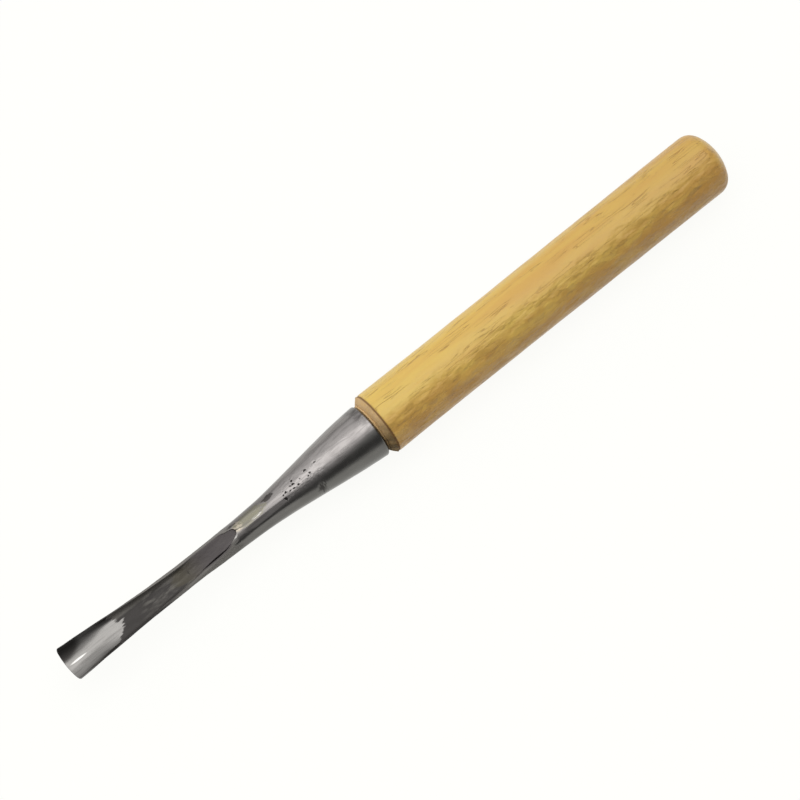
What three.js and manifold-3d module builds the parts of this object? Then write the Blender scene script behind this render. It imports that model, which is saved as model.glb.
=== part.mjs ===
// Wood carving gouge: a forged blade with a rolled socket, and a turned handle driven into it.
// Lengths are in millimetres. The tool lies along X with its cutting edge at low X, and its flute
// opens upwards. Places along the tool are measured from the cutting edge.

import * as THREE from 'three';
import { mergeVertices, toCreasedNormals } from 'three/addons/utils/BufferGeometryUtils.js';
import Module from 'manifold-3d';

// Overall sizes
const overallLength = 222;
const steelLength = 102.25;
const socketLength = 45.25;
const shoulderGap = 0.6;
const fitClearance = 0.3;
const cutOverrun = 2;

// Blade in plan
const edgeWidth = 10;
const edgeThickness = 0.15;
const edgeNose = 0.35;
const waistWidth = 6.9;
const throatWidth = 7.5;

// Blade from the side, as heights above the axis of the socket
const lipHeightAtEdge = 4;
const lipHeightAtWaist = 2.75;
const backDepthAtHeel = 0.35;
const backDepthAtWaist = 1.8;
const bevelAngle = 18;

// Flute, ground into the forging from above
const fluteDepthAtEdge = 2.25;
const fluteDepthAtWaist = 0.95;
const fluteWidthAtWaist = 5.1;
const lipLand = 0.12;
const lipRound = 0.12;

// Rolled throat, where the two flaps of the socket close over the web
const webWidth = 4.7;
const webHeight = 2.35;
const webFall = 0.35;
const archLength = 4.6;
const lapLength = 10.6;
const lapWidth = 0.62;
const lapDepth = 1.3;
const pocketLength = 9;
const pocketWidth = 3.9;
const pocketHeight = 1.15;
const pocketLift = 0.19;

// Socket
const mouthDiameter = 15.9;
const rimRound = 0.8;
const socketWall = 1.2;
const boreDepth = 39.5;
const boreEndDiameter = 5.2;

// Handle
const shoulderDiameter = 18.25;
const gripDiameter = 18;
const buttDiameter = 18.35;
const shoulderFaceDiameter = 14.8;
const chamferLength = 1.6;
const grooveWidth = 0.5;
const grooveDepth = 0.3;
const buttEdgeRadius = 4.6;
const crownRadius = 16;
const buttFlatDiameter = 6;
const tenonEndGap = 1.6;
const tenonChamfer = 0.8;

// Outlines of the blade. Each row has a place as a share of the blade's length, and how far the
// outline has gone there from its size at the waist to its size at the edge.
const flareShares = [
  [0, 1], [0.1, 0.9], [0.2, 0.79], [0.29, 0.58], [0.38, 0.35], [0.47, 0.2], [0.6, 0.07], [0.75, 0],
];
const lipShares = [[0, 1], [0.35, 0.62], [0.75, 0]];
const fluteWidthShares = [[0, 1], [0.3, 0.42], [0.55, 0.1], [0.75, 0]];
const fluteDepthShares = [[0, 1], [0.2, 1], [0.55, 0.4], [0.75, 0]];

// The same with shares from the depth at the heel of the bevel to the depth at the waist
const backShares = [[0, 0], [0.12, 0], [0.4, 0.42], [0.75, 1]];

// Throat: how much of its height at the waist the lip keeps, and how much of half a circle the
// top has become, on the way to the round socket
const lipFallShares = [[0.88, 0.55], [1, 0.2]];
const crownShares = [[0.75, 0.2], [0.88, 0.62], [1, 0.9]];
const backMeetShare = 0.5;
const roundingShare = 0.25;

// Trumpet of the socket, from throat to rim: handles of its curve, as shares of its length and rise
const trumpetShares = [[0, 0], [0.36, 0.03], [0.62, 0.74], [1, 1]];

// Sections: a shallow arc at the edge that becomes a full bowl. The flute's bottom gets flat soon
// behind the edge, and the lips keep their height and round as far as the straight share
const edgeSweep = 50;
const fullSweep = 89;
const backSweepShare = 0.5;
const fluteSweepShare = 0.6;
const flatPowerShare = 0.45;
const flatStartShare = 0.08;
const flatLengthShare = 0.3;
const straightShare = 0.6;
const webStartShare = 0.88;
const archPower = 0.6;
const archTipShare = 0.02;
const lapReachShare = 0.33;
const noseShare = 0.3;

// Barrel of the handle: places along it, and shares of the way from the grip's diameter to that
// of the shoulder, then to that of the butt
const gripShares = [[0, 1], [0.14, 0.2], [0.35, 0]];
const buttShares = [[0.75, 0.8], [1, 1]];

// Fineness of the facets
const curveSamples = 160;
const bowlPoints = 20;
const pocketSides = 24;
const sectionPoints = 44;
const bladeStations = 30;
const socketStations = 16;
const cutterStations = 36;
const handleSides = 24;
const arcSteps = 6;
const barrelSteps = 8;
const creaseAngle = 0.6;

// Places that follow from the sizes above
const bladeLength = steelLength - socketLength;
const shoulderPlace = steelLength + shoulderGap;

const wasm = await Module();
wasm.setup();

/** A function that reads the height of a plane curve at any place along it. */
function heightAlong(curve) {
  const points = curve.getSpacedPoints(curveSamples);
  return (place) => {
    const next = points.findIndex((point) => point.x >= place);
    if (next <= 0) {
      return next === 0 ? points[0].y : points[points.length - 1].y;
    }
    const before = points[next - 1];
    const after = points[next];
    const share = (place - before.x) / (after.x - before.x);
    return before.y + share * (after.y - before.y);
  };
}

/** The same for a smooth curve through a few [place, height] points. */
function heightThrough(points) {
  const knots = points.map(([place, height]) => new THREE.Vector2(place, height));
  return heightAlong(new THREE.SplineCurve(knots));
}

/** Blends two values as a share goes from 0 to 1. */
function between(from, to, share) {
  return from + (to - from) * THREE.MathUtils.clamp(share, 0, 1);
}

/** Half of an open bowl: sideways and downward shares at a turn from -1 to 1 round the sweep. */
function bowlShares(turn, sweep) {
  const sideShare = Math.sin(turn * sweep) / Math.sin(sweep);
  const downShare = (Math.cos(turn * sweep) - Math.cos(sweep)) / (1 - Math.cos(sweep));
  return [sideShare, downShare];
}

/** Closed solid through a row of sections that have equally many points. */
function loftGeometry(sections) {
  const count = sections[0].length;
  const positions = [];
  const addTriangle = (a, b, c) => positions.push(...a.toArray(), ...b.toArray(), ...c.toArray());
  for (let row = 0; row + 1 < sections.length; row += 1) {
    for (let column = 0; column < count; column += 1) {
      const next = (column + 1) % count;
      addTriangle(sections[row][column], sections[row + 1][next], sections[row + 1][column]);
      addTriangle(sections[row][column], sections[row][next], sections[row + 1][next]);
    }
  }
  const first = sections[0];
  const last = sections[sections.length - 1];
  for (let column = 1; column + 1 < count; column += 1) {
    addTriangle(first[0], first[column + 1], first[column]);
    addTriangle(last[0], last[column], last[column + 1]);
  }
  const geometry = new THREE.BufferGeometry();
  geometry.setAttribute('position', new THREE.Float32BufferAttribute(positions, 3));
  return geometry;
}

/** Solid for joining and cutting, made from a closed geometry. */
function solidFrom(geometry) {
  geometry.deleteAttribute('normal');
  geometry.deleteAttribute('uv');
  const merged = mergeVertices(geometry);
  const mesh = new wasm.Mesh({
    numProp: 3,
    vertProperties: new Float32Array(merged.attributes.position.array),
    triVerts: new Uint32Array(merged.index.array),
  });
  return new wasm.Manifold(mesh);
}

/** Geometry with soft and sharp edges, made from a solid. */
function geometryFrom(solid) {
  const mesh = solid.getMesh();
  const geometry = new THREE.BufferGeometry();
  geometry.setAttribute('position', new THREE.BufferAttribute(mesh.vertProperties, mesh.numProp));
  geometry.setIndex(new THREE.BufferAttribute(mesh.triVerts, 1));
  return toCreasedNormals(geometry, creaseAngle);
}

/** Turns a profile of (radius, place) points round the tool's axis. */
function turnedGeometry(profile, sides) {
  const geometry = new THREE.LatheGeometry(profile, sides, Math.PI / sides);
  return geometry.rotateZ(-Math.PI / 2);
}

// Outer shape of the forging

const rimPlace = steelLength - rimRound;
const roundPlace = bladeLength + roundingShare * socketLength;
const halfWidth = makeHalfWidth();
const lipHeight = makeLipHeight();
const backHeight = makeBackHeight();
const crownHeight = makeCrownHeight();

/** Places and sizes of an outline along the blade, from a table of shares. */
function alongBlade(shares, from, to) {
  return shares.map(([along, share]) => [along * bladeLength, between(from, to, share)]);
}

/** Half-width of the steel: a flared blade, a waist, and the trumpet of the socket. */
function makeHalfWidth() {
  const throat = throatWidth / 2;
  const mouth = mouthDiameter / 2;
  const blade = heightThrough([
    ...alongBlade(flareShares, waistWidth / 2, edgeWidth / 2),
    [bladeLength, throat],
  ]);
  const handles = trumpetShares.map(([along, out]) => (
    new THREE.Vector2(between(bladeLength, rimPlace, along), between(throat, mouth, out))));
  const trumpet = heightAlong(new THREE.CubicBezierCurve(...handles));
  return (place) => {
    if (place < bladeLength) {
      return blade(place);
    }
    if (place < rimPlace) {
      return trumpet(place);
    }
    const past = Math.min(place - rimPlace, rimRound);
    return mouth - rimRound + Math.sqrt(rimRound ** 2 - past ** 2);
  };
}

/** Height of the lips of the flute, which falls to the axis where the socket is widest. */
function makeLipHeight() {
  return heightThrough([
    ...alongBlade(lipShares, lipHeightAtWaist, lipHeightAtEdge),
    ...alongBlade(lipFallShares, 0, lipHeightAtWaist),
    [roundPlace, 0],
    [steelLength, 0],
  ]);
}

/** Height of the underside: a ground bevel, then the back of the forging, then the socket. */
function makeBackHeight() {
  const roundRadius = halfWidth(roundPlace);
  const depth = heightThrough([
    ...alongBlade(backShares, backDepthAtHeel, backDepthAtWaist),
    [bladeLength, between(backDepthAtWaist, roundRadius, backMeetShare)],
    [roundPlace, roundRadius],
  ]);
  const edgeHeight = lipHeightAtEdge - fluteDepthAtEdge - edgeThickness;
  const bevelSlope = Math.tan(THREE.MathUtils.degToRad(bevelAngle));
  return (place) => {
    if (place > roundPlace) {
      return -halfWidth(place);
    }
    return Math.max(-depth(place), edgeHeight - place * bevelSlope);
  };
}

/** Height of the top above the lips: almost nothing on the blade, and half the socket later. */
function makeCrownHeight() {
  const crown = heightThrough([
    [0, lipRound],
    [straightShare * bladeLength, lipRound],
    ...crownShares.map(([along, share]) => [along * bladeLength, share * halfWidth(along * bladeLength)]),
    [roundPlace, halfWidth(roundPlace)],
  ]);
  return (place) => (place > roundPlace ? halfWidth(place) : crown(place));
}

/** Sweep of a bowl in radians, which opens from the edge over a share of the blade's length. */
function sweepAt(place, reachShare) {
  return THREE.MathUtils.degToRad(between(edgeSweep, fullSweep, place / (reachShare * bladeLength)));
}

/** One closed section of the forging before the flute is ground. */
function forgedSection(place) {
  const half = halfWidth(place);
  const lip = lipHeight(place);
  const back = backHeight(place);
  const crown = crownHeight(place);
  const sweep = sweepAt(place, backSweepShare);
  const points = [];
  for (let index = 0; index < sectionPoints; index += 1) {
    const angle = index / sectionPoints * 2 * Math.PI;
    if (angle < Math.PI) {
      points.push(new THREE.Vector3(place, half * Math.cos(angle), lip + crown * Math.sin(angle)));
    } else {
      const [sideShare, downShare] = bowlShares(angle / (Math.PI / 2) - 3, sweep);
      points.push(new THREE.Vector3(place, half * sideShare, lip - (lip - back) * downShare));
    }
  }
  return points;
}

/** Evenly spaced places along a stretch. */
function stations(from, to, count) {
  return Array.from({ length: count + 1 }, (_, index) => between(from, to, index / count));
}

/** The whole forging as a solid bar, with flared blade, waist, throat and trumpet. */
function forgingSolid() {
  const rimAngles = stations(0, Math.PI / 2, arcSteps).slice(1);
  const places = [
    ...stations(0, bladeLength, bladeStations),
    ...stations(bladeLength, rimPlace, socketStations).slice(1),
    ...rimAngles.map((angle) => rimPlace + rimRound * Math.sin(angle)),
  ];
  return solidFrom(loftGeometry(places.map(forgedSection)));
}

/** One section of the flute's cutter: a bowl below the lips and a shaft that clears them. */
function fluteSection(place, half, bottom) {
  const rim = lipHeight(place) + crownHeight(place);
  const clear = lipHeightAtEdge + mouthDiameter / 2;
  const sweep = sweepAt(place, fluteSweepShare);
  const flatness = (place / bladeLength - flatStartShare) / flatLengthShare;
  const power = between(1, flatPowerShare, flatness);
  const points = [new THREE.Vector3(place, half, clear), new THREE.Vector3(place, -half, clear)];
  for (let index = 0; index <= bowlPoints; index += 1) {
    const [side, down] = bowlShares(2 * index / bowlPoints - 1, sweep);
    const sideShare = Math.sign(side) * Math.abs(side) ** power;
    const downShare = Math.abs(down) ** power;
    points.push(new THREE.Vector3(place, half * sideShare, rim - (rim - bottom) * downShare));
  }
  return points;
}

/** Everything that is ground or forged out of the top, from the cutting edge to the arch. */
function fluteCutter() {
  const archStart = bladeLength - archLength;
  const width = heightThrough([
    ...alongBlade(fluteWidthShares, fluteWidthAtWaist / 2, edgeWidth / 2 - lipLand),
    [archStart, webWidth / 2],
    [bladeLength, webWidth / 2],
  ]);
  const floor = heightThrough([
    ...alongBlade(fluteDepthShares, fluteDepthAtWaist, fluteDepthAtEdge)
      .map(([place, depth]) => [place, lipHeight(place) - depth]),
    [webStartShare * bladeLength, webHeight],
    [bladeLength, webHeight - webFall],
  ]);
  const places = [-cutOverrun, ...stations(0, bladeLength, cutterStations)];
  const sections = places.map((place) => {
    const inArch = THREE.MathUtils.clamp((place - archStart) / archLength, 0, 1);
    const archShare = Math.max((1 - inArch ** 2) ** archPower, archTipShare);
    return fluteSection(place, width(place) * archShare, floor(place));
  });
  return solidFrom(loftGeometry(sections));
}

/** The forged socket from mouth to end, tapered to take the tenon. */
function boreCutter() {
  const mouthRadius = mouthDiameter / 2 - socketWall;
  const endRadius = boreEndDiameter / 2;
  const slope = (mouthRadius - endRadius) / boreDepth;
  const profile = [
    new THREE.Vector2(0, steelLength - boreDepth - endRadius / 2),
    new THREE.Vector2(endRadius, steelLength - boreDepth),
    new THREE.Vector2(mouthRadius + slope * cutOverrun, steelLength + cutOverrun),
    new THREE.Vector2(0, steelLength + cutOverrun),
  ];
  return solidFrom(turnedGeometry(profile, handleSides));
}

/** The open lap along the right flap: a slit that is widest in the middle. */
function lapCutter() {
  const outline = new THREE.Shape();
  outline.moveTo(0, 0);
  outline.quadraticCurveTo(lapLength / 2, lapWidth, lapLength, 0);
  outline.quadraticCurveTo(lapLength / 2, -lapWidth, 0, 0);
  const depth = lapDepth + throatWidth / 2;
  const options = { depth, bevelEnabled: false, curveSegments: arcSteps };
  const geometry = new THREE.ExtrudeGeometry(outline, options);
  const start = bladeLength - archLength * (1 - lapReachShare) - lapLength;
  geometry.translate(start, -(webWidth - lapWidth) / 2, webHeight - lapDepth);
  return solidFrom(geometry);
}

/** The hollow below the arch, where the flaps roll over the web. */
function pocketCutter() {
  const geometry = new THREE.SphereGeometry(1, pocketSides, pocketSides / 2);
  geometry.scale(pocketLength / 2, pocketWidth / 2, pocketHeight / 2);
  geometry.translate(bladeLength - archLength / 2, 0, webHeight + pocketLift);
  return solidFrom(geometry);
}

/** Curves the cutting edge forwards in its middle. */
function noseEdge(geometry) {
  const position = geometry.attributes.position;
  const reach = noseShare * bladeLength;
  for (let index = 0; index < position.count; index += 1) {
    const place = position.getX(index);
    const fade = 1 - THREE.MathUtils.smoothstep(place, 0, reach);
    const outShare = position.getY(index) / (edgeWidth / 2);
    position.setX(index, place + edgeNose * fade * outShare ** 2);
  }
  return geometry;
}

/** Steel blade, shank and socket as one forging. */
function gougeBlade() {
  const solid = forgingSolid()
    .subtract(fluteCutter())
    .subtract(lapCutter())
    .subtract(pocketCutter())
    .subtract(boreCutter());
  const steel = new THREE.MeshStandardMaterial({ color: 0x8a8886, roughness: 0.38, metalness: 1 });
  const mesh = new THREE.Mesh(noseEdge(geometryFrom(solid)), steel);
  mesh.name = 'gouge_blade';
  return mesh;
}

/** Points of an arc as (radius, place), from one angle to another. */
function arcPoints(centreRadius, centrePlace, radius, from, to) {
  return stations(from, to, arcSteps).map((angle) => (
    new THREE.Vector2(centreRadius + radius * Math.cos(angle), centrePlace + radius * Math.sin(angle))));
}

/** The rounded butt: an edge round that runs into a shallow crown with a small flat centre. */
function buttProfile() {
  const radius = buttDiameter / 2;
  const flatRadius = buttFlatDiameter / 2;
  const crownCentre = overallLength - Math.sqrt(crownRadius ** 2 - flatRadius ** 2);
  const edgeCentreRadius = radius - buttEdgeRadius;
  const centreDistance = crownRadius - buttEdgeRadius;
  const edgeCentre = crownCentre + Math.sqrt(centreDistance ** 2 - edgeCentreRadius ** 2);
  const meeting = Math.acos(edgeCentreRadius / centreDistance);
  const flatAngle = Math.acos(flatRadius / crownRadius);
  return [
    ...arcPoints(edgeCentreRadius, edgeCentre, buttEdgeRadius, 0, meeting),
    ...arcPoints(0, crownCentre, crownRadius, meeting, flatAngle).slice(1),
    new THREE.Vector2(0, overallLength),
  ];
}

/** The tapered tenon, which stands clear of the socket by the fit clearance. */
function tenonProfile() {
  const slope = (mouthDiameter / 2 - socketWall - boreEndDiameter / 2) / boreDepth;
  const radiusAt = (place) => mouthDiameter / 2 - socketWall - fitClearance - slope * (steelLength - place);
  const end = steelLength - boreDepth + tenonEndGap;
  return [
    new THREE.Vector2(0, end),
    new THREE.Vector2(radiusAt(end) - tenonChamfer, end),
    new THREE.Vector2(radiusAt(end + tenonChamfer), end + tenonChamfer),
    new THREE.Vector2(radiusAt(shoulderPlace), shoulderPlace),
  ];
}

/** Turned handle: tenon, bare chamfer, cut line, lacquered barrel and rounded butt. */
function handle() {
  const barrelPlace = shoulderPlace + chamferLength;
  const butt = buttProfile();
  const barrelEnd = butt[0].y;
  const barrel = heightThrough([
    ...gripShares.map(([along, share]) => (
      [between(barrelPlace, barrelEnd, along), between(gripDiameter, shoulderDiameter, share) / 2])),
    ...buttShares.map(([along, share]) => (
      [between(barrelPlace, barrelEnd, along), between(gripDiameter, buttDiameter, share) / 2])),
  ]);
  const barrelPoints = stations(barrelPlace + grooveWidth, barrelEnd, barrelSteps)
    .slice(0, -1)
    .map((place) => new THREE.Vector2(barrel(place), place));
  const profile = [
    ...tenonProfile(),
    new THREE.Vector2(shoulderFaceDiameter / 2, shoulderPlace),
    new THREE.Vector2(shoulderDiameter / 2, barrelPlace),
    new THREE.Vector2(shoulderDiameter / 2 - grooveDepth, barrelPlace + grooveWidth / 2),
    ...barrelPoints,
    ...butt,
  ];
  const wood = new THREE.MeshStandardMaterial({ color: 0xd0a660, roughness: 0.42, metalness: 0 });
  const mesh = new THREE.Mesh(turnedGeometry(profile, handleSides), wood);
  mesh.name = 'handle';
  return mesh;
}

// The tool lies with the middle of its length over the origin and its handle on the ground plane.
const tool = new THREE.Group();
tool.add(gougeBlade(), handle());
tool.position.set(-overallLength / 2, 0, buttDiameter / 2 * Math.cos(Math.PI / handleSides));

export default tool;
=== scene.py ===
"""Looks of a small socket gouge: a hand-forged steel blade driven onto a turned, lacquered handle.

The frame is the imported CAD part. The pieces are modelled in millimetres in the tool's own
coordinates, with x from the cutting edge and z from the axis of the socket, and are then set into
the frame in metres.
"""

import logging
import math
from dataclasses import dataclass
from enum import Enum
from typing import Any

import bmesh
import bpy
from mathutils import Matrix, Vector, noise


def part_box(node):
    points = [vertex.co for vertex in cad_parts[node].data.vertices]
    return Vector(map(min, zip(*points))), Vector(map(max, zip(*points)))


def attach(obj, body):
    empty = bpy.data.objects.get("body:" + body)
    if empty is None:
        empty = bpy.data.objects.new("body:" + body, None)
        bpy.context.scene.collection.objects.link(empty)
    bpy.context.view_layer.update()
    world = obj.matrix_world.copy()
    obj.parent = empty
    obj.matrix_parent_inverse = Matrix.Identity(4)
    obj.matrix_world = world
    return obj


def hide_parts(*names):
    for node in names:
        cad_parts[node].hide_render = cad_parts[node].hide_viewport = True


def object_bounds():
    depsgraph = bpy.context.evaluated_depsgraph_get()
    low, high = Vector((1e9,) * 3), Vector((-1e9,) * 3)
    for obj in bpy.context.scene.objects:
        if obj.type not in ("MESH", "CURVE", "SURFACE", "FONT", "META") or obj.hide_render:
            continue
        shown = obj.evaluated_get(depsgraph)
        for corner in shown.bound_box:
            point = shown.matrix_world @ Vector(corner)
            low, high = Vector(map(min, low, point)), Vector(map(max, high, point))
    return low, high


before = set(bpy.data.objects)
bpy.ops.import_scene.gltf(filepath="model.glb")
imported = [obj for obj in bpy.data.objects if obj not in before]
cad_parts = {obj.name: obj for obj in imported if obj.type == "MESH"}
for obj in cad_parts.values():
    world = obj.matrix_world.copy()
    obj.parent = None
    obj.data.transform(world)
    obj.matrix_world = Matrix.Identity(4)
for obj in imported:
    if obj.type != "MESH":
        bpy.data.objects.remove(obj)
cad_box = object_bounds()

log = logging.getLogger("socket_gouge")

Pair = tuple[float, float]
Triple = tuple[float, float, float]
Quad = tuple[float, float, float, float]

MM = 0.001
BODY = "root"
MIX_FACTOR, MIX_A, MIX_B, MIX_RESULT = 0, 6, 7, 2
POLE_RADIUS = 0.02
POLE_MERGE = 0.1
MOUTH_CHAMFER = 0.15


class Slot(Enum):
    """Material slots of the record."""

    STEEL = "forged_steel"
    WOOD = "lacquered_wood"


class Node(Enum):
    """CAD nodes that the visible pieces stand for."""

    BLADE = "gouge_blade"
    HANDLE = "handle"


class Zone(Enum):
    """Attributes on the meshes that tell differently made surfaces apart."""

    FLUTE = "ground_flute"
    HOLLOW = "hollow"
    PIT = "rust_pit"
    BARE = "bare_wood"
    CUT = "cut_line"


def ease(start: float, end: float, value: float) -> float:
    """Soft step of a value, from 0 at start to 1 at end."""
    share = min(max((value - start) / (end - start), 0.0), 1.0)
    return share * share * (3 - 2 * share)


def blend(low: float, high: float, share: float) -> float:
    """Value at a share of the way from low to high."""
    return low + (high - low) * share


def steps(start: float, end: float, spacing: float) -> list[float]:
    """Evenly spaced places from start up to, but without, end."""
    count = max(1, round((end - start) / spacing))
    return [blend(start, end, number / count) for number in range(count)]


def within(stretch: Quad, place: float) -> float:
    """Share of a stretch of the tool, with a soft step at its start and its end."""
    start, full, fade, end = stretch
    return ease(start, full, place) * (1 - ease(fade, end, place))


def bezier(knots: list[float], share: float) -> float:
    """Value at a share of the way along a curve with two handles."""
    back = 1 - share
    weights = (back ** 3, 3 * back ** 2 * share, 3 * back * share ** 2, share ** 3)
    return sum(weight * knot for weight, knot in zip(weights, knots))


def arc(place: float, out: float, radius: float, start: float, end: float, count: int) -> list[Pair]:
    """Points of an arc in the plane of the tool's axis.

    Args:
        place: Place of its centre along the tool.
        out: Distance of its centre from the axis.
        radius: Radius of the arc.
        start: Angle from straight out where it starts, in radians.
        end: Angle where it ends.
        count: Number of its steps.

    Returns:
        Place and distance from the axis of each point.
    """
    angles = [blend(start, end, step / count) for step in range(count + 1)]
    return [(place + radius * math.sin(angle), out + radius * math.cos(angle)) for angle in angles]


@dataclass(frozen=True)
class Waves:
    """Unevenness of a surface.

    Attributes:
        size: Size of the waves along, across and up.
        height: Height of the highest ones.
        layers: Number of layers, each of half the size and height of the one before.
    """

    size: Triple
    height: float
    layers: int = 1

    def at(self, point: Vector) -> float:
        """Height at a point."""
        scaled = Vector([place / reach for place, reach in zip(point, self.size)])
        return noise.fractal(scaled, 1.0, 2.0, self.layers) * self.height


@dataclass(frozen=True)
class Curve:
    """Smooth curve through a few points of an outline, which stays level past its ends.

    Attributes:
        points: Places along the tool, each with its height or width there.
    """

    points: tuple[Pair, ...]

    def slope(self, index: int) -> float:
        """Slope at a point, from its neighbours."""
        before, after = self.points[max(index - 1, 0)], self.points[min(index + 1, len(self.points) - 1)]
        return (after[1] - before[1]) / (after[0] - before[0])

    def at(self, place: float) -> float:
        """Height or width at a place.

        Args:
            place: Place along the tool.

        Returns:
            The curve's value there.
        """
        place = min(max(place, self.points[0][0]), self.points[-1][0])
        index = max(i for i, point in enumerate(self.points[:-1]) if point[0] <= place)
        (x0, y0), (x1, y1) = self.points[index], self.points[index + 1]
        length = x1 - x0
        share = (place - x0) / length
        squared, cubed = share ** 2, share ** 3
        return (
            (2 * cubed - 3 * squared + 1) * y0
            + (cubed - 2 * squared + share) * length * self.slope(index)
            + (3 * squared - 2 * cubed) * y1
            + (cubed - squared) * length * self.slope(index + 1)
        )


@dataclass(frozen=True)
class Bore:
    """Tapered bore of the socket, as in the CAD part: wall at the mouth, depth, radius at the end."""

    wall: float = 1.2
    depth: float = 39.5
    end_radius: float = 2.6


@dataclass(frozen=True)
class ToolFrame:
    """Place and main sizes of the tool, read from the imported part.

    Attributes:
        origin: Place of the cutting edge, at the height of the socket's axis, in metres.
        overall_length: Length from the cutting edge to the butt, in millimetres.
        steel_length: Length of the steel, in millimetres.
        mouth_radius: Radius of the socket's mouth, in millimetres.
    """

    origin: Vector
    overall_length: float
    steel_length: float
    mouth_radius: float

    @classmethod
    def read(cls) -> "ToolFrame":
        """Reads the boxes of the two solids.

        Returns:
            The tool's place and sizes.
        """
        steel_low, steel_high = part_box(Node.BLADE.value)
        wood_low, wood_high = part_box(Node.HANDLE.value)
        return cls(
            origin=Vector((steel_low.x, 0, (wood_low.z + wood_high.z) / 2)),
            overall_length=(wood_high.x - steel_low.x) / MM,
            steel_length=(steel_high.x - steel_low.x) / MM,
            mouth_radius=(steel_high.y - steel_low.y) / MM / 2,
        )

    def placement(self) -> Matrix:
        """Matrix from tool millimetres to the frame."""
        return Matrix.Translation(self.origin) @ Matrix.Scale(MM, 4)


def linear(hex_colour: str) -> tuple[float, float, float, float]:
    """Turns an sRGB hex colour to linear light.

    Args:
        hex_colour: Six hex digits after a hash.

    Returns:
        Linear red, green and blue, with an alpha of 1.
    """
    channels = [int(hex_colour[i:i + 2], 16) / 255 for i in (1, 3, 5)]
    light = [c / 12.92 if c <= 0.04045 else ((c + 0.055) / 1.055) ** 2.4 for c in channels]
    return (*light, 1.0)


class Shading:
    """Shader tree that grows node by node."""

    def __init__(self, tree: bpy.types.NodeTree) -> None:
        """Takes over a tree that exists."""
        self.tree = tree

    def add(self, kind: str, inputs: dict[Any, Any] | None = None, **settings: Any) -> bpy.types.Node:
        """Adds a node with its settings and links.

        Args:
            kind: Type name of the node.
            inputs: Values or output sockets for the node's inputs, by name or index.
            **settings: Properties of the node.

        Returns:
            The new node.
        """
        node = self.tree.nodes.new(kind)
        for name, value in settings.items():
            setattr(node, name, value)
        self.join(node, inputs or {})
        return node

    def join(self, node: bpy.types.Node, inputs: dict[Any, Any]) -> None:
        """Sets or links inputs of a node.

        Args:
            node: The node.
            inputs: Values or output sockets, by the name or index of the input.
        """
        for socket, value in inputs.items():
            if isinstance(value, bpy.types.NodeSocket):
                self.tree.links.new(value, node.inputs[socket])
            else:
                node.inputs[socket].default_value = value

    def maths(self, operation: str, first: Any, *others: Any) -> Any:
        """Arithmetic on values or sockets, taken from the left.

        Args:
            operation: Name of the operation.
            first: First value or socket.
            *others: The values or sockets that follow.

        Returns:
            The result's socket.
        """
        for other in others:
            first = self.add("ShaderNodeMath", {0: first, 1: other}, operation=operation).outputs[0]
        return first

    def times(self, *factors: Any) -> Any:
        """Product of values or sockets."""
        return self.maths("MULTIPLY", *factors)

    def plus(self, *terms: Any) -> Any:
        """Sum of values or sockets."""
        return self.maths("ADD", *terms)

    def less(self, *terms: Any) -> Any:
        """First value or socket, less those that follow."""
        return self.maths("SUBTRACT", *terms)

    def most(self, *values: Any) -> Any:
        """Highest of some values or sockets."""
        return self.maths("MAXIMUM", *values)

    def step(self, value: Any, start: float, end: float, low: float = 0, high: float = 1) -> Any:
        """Soft step of a value.

        Args:
            value: Socket to judge.
            start: Value where the step begins.
            end: Value where it is complete. It may be lower than start.
            low: Result before the step.
            high: Result after the step.

        Returns:
            The result's socket.
        """
        return self.add(
            "ShaderNodeMapRange",
            {"Value": value, "From Min": start, "From Max": end, "To Min": low, "To Max": high},
            interpolation_type="SMOOTHSTEP",
        ).outputs[0]


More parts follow.
